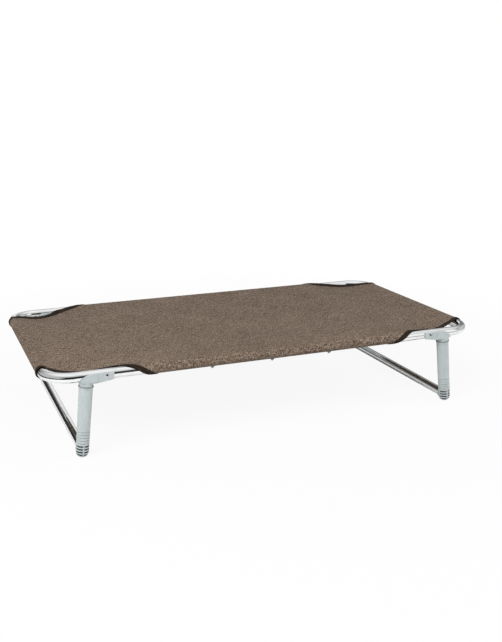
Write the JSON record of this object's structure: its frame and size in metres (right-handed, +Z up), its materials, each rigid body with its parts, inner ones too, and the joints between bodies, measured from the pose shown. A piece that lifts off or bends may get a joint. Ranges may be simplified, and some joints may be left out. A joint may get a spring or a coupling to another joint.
{
  "type": "raised dog cot",
  "caption": "Raised dog cot: fabric stretched over a bent tube frame with bare corners, standing on folding leg frames with ribbed feet and floor crossbars.",
  "frame": {"origin": "on the floor, under the middle of the cot", "axes": "+X along the length of the cot, +Y across it to the rear, +Z up"},
  "size_m": [1.2026, 0.6594, 0.2153],
  "materials": {
    "frame_tube": "polished, bright drawn tube",
    "splice_sleeve": "mill finish",
    "rivet": "plain zinc",
    "cover_fabric": "woven melange, matt",
    "binding_tape": "ribbed woven tape",
    "stud": "moulded",
    "leg_plastic": "satin moulded",
    "collar_ring": "smooth"
  },
  "bodies": {
    "frame": {"frame_tube_left": "frame_tube", "frame_tube_right": "frame_tube", "splice_sleeve_front": "splice_sleeve", "splice_sleeve_rear": "splice_sleeve", "splice_rivets": "rivet", "fabric_cover": "cover_fabric", "binding_front_left": "binding_tape", "binding_front_right": "binding_tape", "binding_rear_left": "binding_tape", "binding_rear_right": "binding_tape", "cover_studs": "stud"},
    "leg_frame_left": {"leg_bracket_front_left": "leg_plastic", "leg_bracket_rear_left": "leg_plastic", "pivot_rivet_front_left": "rivet", "pivot_rivet_rear_left": "rivet", "leg_collar_front_left": "collar_ring", "leg_collar_rear_left": "collar_ring", "leg_front_left": "leg_plastic", "leg_rear_left": "leg_plastic", "crossbar_left": "frame_tube"},
    "leg_frame_right": {"leg_bracket_front_right": "leg_plastic", "leg_bracket_rear_right": "leg_plastic", "pivot_rivet_front_right": "rivet", "pivot_rivet_rear_right": "rivet", "leg_collar_front_right": "collar_ring", "leg_collar_rear_right": "collar_ring", "leg_front_right": "leg_plastic", "leg_rear_right": "leg_plastic", "crossbar_right": "frame_tube"}
  },
  "joints": [
    {"name": "left_leg_fold", "type": "hinge", "parent": "frame", "child": "leg_frame_left", "pos_m": [-0.447, 0, 0.2005], "axis": [0, -1, 0], "range_deg": [0, 94]},
    {"name": "right_leg_fold", "type": "hinge", "parent": "frame", "child": "leg_frame_right", "pos_m": [0.447, 0, 0.2005], "axis": [0, 1, 0], "range_deg": [0, 94]}
  ]
}
